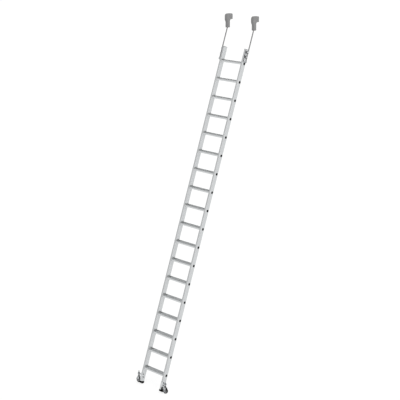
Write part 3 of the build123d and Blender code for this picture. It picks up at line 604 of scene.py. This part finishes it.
def springPiece(side):
    # wire along a helix: each turn rises by one wire in the closed ends and evenly between them, the change
    # eased by a smooth step; the ends are ground flat where the wire would pass the spring's own height
    node = f"{side}_castor_spring"
    low, high = (np.array(corner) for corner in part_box(node))
    middle, mean = (low + high) / 2, (high[0] - low[0] - spring["wire"]) / 2
    turns = 2 * spring["closedTurns"] + spring["openTurns"]
    s = np.linspace(0, turns, spring["steps"])
    edge = np.clip((np.minimum(s, turns - s) - spring["closedTurns"]) / spring["ease"] + 0.5, 0, 1)
    opened = edge * edge * (3 - 2 * edge)
    step = turns / (spring["steps"] - 1)
    wound = np.cumsum(np.append(0, (1 - opened)[:-1])) * step * spring["wire"]
    spread = np.cumsum(np.append(0, opened[:-1])) * step
    rise = high[2] - low[2] - spring["wire"]
    z = low[2] + spring["wire"] / 2 + wound + spread * (rise - wound[-1]) / spread[-1]
    angle = 2 * math.pi * s
    out = np.column_stack([np.cos(angle), np.sin(angle), 0 * angle])
    line = out * mean + np.column_stack([0 * s + middle[0], 0 * s + middle[1], z])
    along = np.gradient(line, axis=0)
    along /= np.linalg.norm(along, axis=1, keepdims=True)
    aside = np.cross(along, out)
    turn = np.linspace(0, 2 * math.pi, spring["round"], endpoint=False)[None, :, None]
    tube = line[:, None] + spring["wire"] / 2 * (np.cos(turn) * out[:, None] + np.sin(turn) * aside[:, None])
    tube[..., 2] = np.clip(tube[..., 2], low[2], high[2])
    piece = addPiece(f"{node}_wound", [closed(tube)], springSteel, "ladder", node)
    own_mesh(piece)


for side in sides:
    springPiece(side)
print("springs made")


# Tyres

tyre = {"shoulder": 4.0 * mm, "power": 3.0, "seatEdge": 1.5 * mm, "wall": 0.7 * mm, "seamHeight": 0.25 * mm,
        "seamWidth": 0.5 * mm, "inside": 0.02 * mm, "rows": 33, "count": 96}


def tyrePiece(side):
    # tyre section: (across / half) ^ power + ((r - shoulder) / shoulder height) ^ power = 1 above the
    # shoulders, with a moulded seam round the middle; drawn-in side walls and a flat seat below them
    node = f"{side}_tyre"
    across = turnFrame((0, 1, 0))
    size = measure(np.concatenate(solidsOf(node)), across)
    width, seat, wall, edge = size["length"], size["bore"].min(), tyre["wall"], tyre["seatEdge"]
    half, bend = width / 2, 2 / tyre["power"]
    crown = size["radius"].max() - tyre["seamHeight"] - tyre["inside"]
    base = crown - tyre["shoulder"]
    t = np.linspace(math.pi, 0, tyre["rows"])
    h = half * np.sign(np.cos(t)) * np.abs(np.cos(t)) ** bend
    r = base + tyre["shoulder"] * np.sin(t).clip(0) ** bend
    r = r + tyre["seamHeight"] * np.exp(-(h / tyre["seamWidth"]) ** 2)
    rows = np.concatenate([plain((edge + wall, seat), (wall, seat + edge)),
                           np.column_stack([h + half, r, 0 * r]),
                           plain((width - wall, seat + edge), (width - edge - wall, seat))])
    ring = closed(turned(rows, across, size["foot"], count=tyre["count"]), ring=True)
    addPiece(f"{node}_moulded", [ring], tyreRubber, bodyOf[node], node)


for side in sides:
    tyrePiece(side)
print("tyres made")


# Floor, light and camera

stage = {"floorHalf": 250.0, "floorColour": "#E6E6E6", "seenColour": "#808080", "seenLift": 0.785,
         "skyColour": "#FFFFFF", "surroundings": 0.76, "mirrored": 0.712, "sunAngle": 110.0,
         "keyStrength": 1.1, "keyFrom": (0.60, -0.60, 0.53),
         "rimStrength": 1.4, "rimFrom": (0.80, 0.30, 0.52)}
camera = {"place": (10.8461, -9.9207, 6.6232), "down": 15.315, "turn": 45.052, "lens": 107.07,
          "sensor": 36.0, "clipEnd": 500.0}


def seenRays(tree):
    # 1 for camera, glossy and transmission rays, 0 for the rest
    path = addNode(tree, "LightPath")
    first = addNode(tree, "Math", [("operation", "MAXIMUM")],
                    [(0, path.outputs["Is Camera Ray"]), (1, path.outputs["Is Glossy Ray"])])
    seen = addNode(tree, "Math", [("operation", "MAXIMUM")],
                   [(0, first.outputs[0]), (1, path.outputs["Is Transmission Ray"])])
    return seen.outputs[0]


def makeFloor():
    # pale floor; to the camera and in mirrors a greyer one, lifted to white, that still takes the shadow
    half = stage["floorHalf"]
    corners = np.array([[-1, -1], [1, -1], [1, 1], [-1, 1]]) * half
    mesh = bpy.data.meshes.new("floor")
    mesh.from_pydata(np.column_stack([corners, np.zeros(4)]).tolist(), [], [(0, 1, 2, 3)])
    material = bpy.data.materials.new("paleStudioFloor")
    tree = emptyTree(material)
    pale = addNode(tree, "BsdfDiffuse", [("Color", linear(stage["floorColour"]))])
    grey = addNode(tree, "BsdfDiffuse", [("Color", linear(stage["seenColour"]))])
    lift = addNode(tree, "Emission", [("Strength", stage["seenLift"])])
    lifted = addNode(tree, "AddShader", (), [(0, grey.outputs[0]), (1, lift.outputs[0])])
    mixed = addNode(tree, "MixShader", (),
                    [(0, seenRays(tree)), (1, pale.outputs[0]), (2, lifted.outputs[0])])
    addNode(tree, "OutputMaterial", (), [("Surface", mixed.outputs[0])])
    mesh.materials.append(material)
    floor = addObject("floor", mesh)


def makeWorld():
    # even surroundings, white to the camera, a little weaker as light on the ladder and in its mirrors
    world = bpy.data.worlds.new("studio")
    bpy.context.scene.world = world
    tree = emptyTree(world)
    path = addNode(tree, "LightPath")
    unseen = addNode(tree, "MapRange", [("To Min", stage["surroundings"]), ("To Max", stage["mirrored"])],
                     [("Value", path.outputs["Is Glossy Ray"])])
    level = addNode(tree, "MapRange", [("To Max", 1.0)],
                    [("Value", path.outputs["Is Camera Ray"]), ("To Min", unseen.outputs[0])])
    sky = addNode(tree, "Background", [("Color", linear(stage["skyColour"]))],
                  [("Strength", level.outputs[0])])
    addNode(tree, "OutputWorld", (), [("Surface", sky.outputs[0])])


def makeSun(name, strength, towards):
    # a sun seen in the given direction, so wide that its shadows stay soft
    lamp = bpy.data.lights.new(name, "SUN")
    lamp.energy = strength
    lamp.angle = math.radians(stage["sunAngle"])
    addObject(name, lamp).rotation_euler = Vector(towards).to_track_quat("Z", "Y").to_euler()


def makeCamera():
    # the camera that fits the plugs and the stiles' edges in the photo: place in metres, angles in degrees
    lens = bpy.data.cameras.new("camera")
    lens.lens = camera["lens"]
    lens.sensor_width = camera["sensor"]
    lens.clip_end = camera["clipEnd"]
    holder = addObject("camera", lens)
    holder.location = camera["place"]
    holder.rotation_euler = (math.radians(90 - camera["down"]), 0, math.radians(camera["turn"]))
    bpy.context.scene.camera = holder


makeFloor()
makeWorld()
makeSun("keySun", stage["keyStrength"], stage["keyFrom"])
makeSun("rimSun", stage["rimStrength"], stage["rimFrom"])
makeCamera()
bpy.context.scene.view_settings.view_transform = "Standard"
print("floor, light and camera set")
